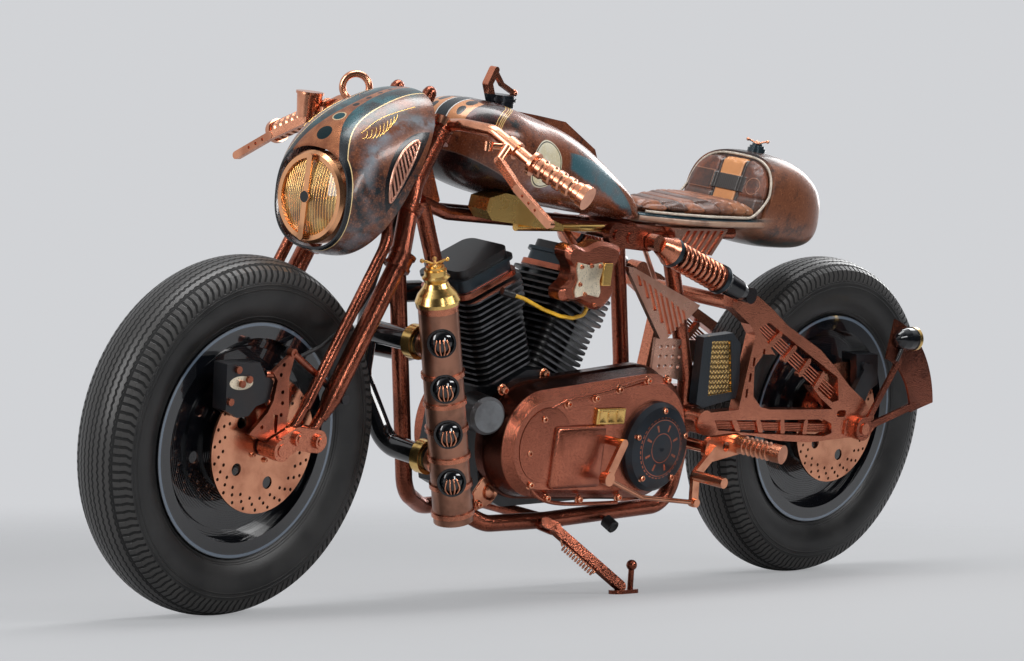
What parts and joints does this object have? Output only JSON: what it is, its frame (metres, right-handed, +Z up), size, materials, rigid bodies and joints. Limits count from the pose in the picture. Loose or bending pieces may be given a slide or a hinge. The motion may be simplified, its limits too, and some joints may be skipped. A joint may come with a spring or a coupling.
{
  "type": "chopper motorcycle",
  "caption": "Chopper motorcycle with springer fork, nose fairing, V-twin engine, disc wheels and side stand, leaning on its stand.",
  "frame": {"origin": "on the ground under the middle of the parked motorcycle: midway between the axles and midway across its overall width", "axes": "+X to the rear, +Y to the rider's right, +Z up; the motorcycle leans towards -Y on its side stand"},
  "size_m": [2.4228, 0.8639, 1.0542],
  "materials": {
    "copper_hammered": "hammered copper",
    "copper_bright": "polished copper",
    "brass": "polished brass",
    "black_gloss": "gloss black",
    "dark_metal": "satin black",
    "teal_patina": "teal and rust patina",
    "teal_grey": "satin teal grey",
    "engine_black": "satin black fins",
    "tyre": "matt rubber",
    "leather": "stitched brown leather",
    "lens": "amber lens",
    "yellow_rubber": "yellow silicone lead",
    "black_rubber": "black hose"
  },
  "bodies": {
    "chassis": {"frame": "copper_hammered", "cradle": "copper_hammered", "tank": "teal_patina", "filler_cap": "copper_bright", "tank_tray": "brass", "seat": "leather", "back_pad": "leather", "tail_cowl": "teal_patina", "engine_case": "engine_black", "cylinders": "engine_black", "rocker_boxes": "teal_grey", "coil_cover": "copper_hammered", "primary_cover": "copper_hammered", "derby_cover": "teal_grey", "cam_cover": "engine_black", "pushrod_tubes": "copper_bright", "air_cleaner": "copper_hammered", "header_pipes": "black_gloss", "standpipe": "copper_bright", "oil_filter": "dark_metal", "plug_lead": "yellow_rubber", "foot_pegs": "copper_bright", "foot_levers": "copper_bright", "swingarm": "copper_hammered", "shocks": "copper_bright", "side_box": "teal_grey", "side_grilles": "copper_bright", "rear_plate": "copper_hammered", "rear_caliper": "dark_metal", "indicators": "black_gloss", "chain": "dark_metal"},
    "steering": {"fork_rear_legs": "copper_hammered", "fork_front_legs": "copper_hammered", "fork_rockers": "copper_hammered", "fork_yokes": "copper_hammered", "handlebar": "copper_bright", "grips": "copper_bright", "levers": "copper_bright", "fairing": "teal_patina", "headlight_bezel": "copper_bright", "headlight_lens": "lens", "front_caliper": "dark_metal", "brake_hose": "black_rubber"},
    "front_wheel_assembly": {"front_tyre": "tyre", "front_wheel": "black_gloss", "front_rotor": "copper_bright"},
    "rear_wheel_assembly": {"rear_tyre": "tyre", "rear_wheel": "black_gloss", "rear_rotor": "copper_bright", "rear_sprocket": "dark_metal"},
    "side_stand_assembly": {"side_stand": "copper_bright"}
  },
  "joints": [
    {"name": "steering_turn", "type": "hinge", "parent": "chassis", "child": "steering", "pos_m": [-0.767, 0.08559, 0.3541], "axis": [0.4695, -0.15, 0.8701], "range_deg": [-25, 25]},
    {"name": "front_wheel_spin", "type": "hinge", "parent": "steering", "child": "front_wheel_assembly", "pos_m": [-0.8665, 0.0878, 0.34129], "axis": [0, 0.9855, 0.1699], "continuous": true},
    {"name": "rear_wheel_spin", "type": "hinge", "parent": "chassis", "child": "rear_wheel_assembly", "pos_m": [0.8665, 0.0878, 0.34129], "axis": [0, 0.9855, 0.1699], "continuous": true},
    {"name": "side_stand_swing", "type": "hinge", "parent": "chassis", "child": "side_stand_assembly", "pos_m": [-0.05, -0.00658, 0.13526], "axis": [-0.1654, -0.9464, 0.2776], "range_deg": [0, 36]}
  ]
}
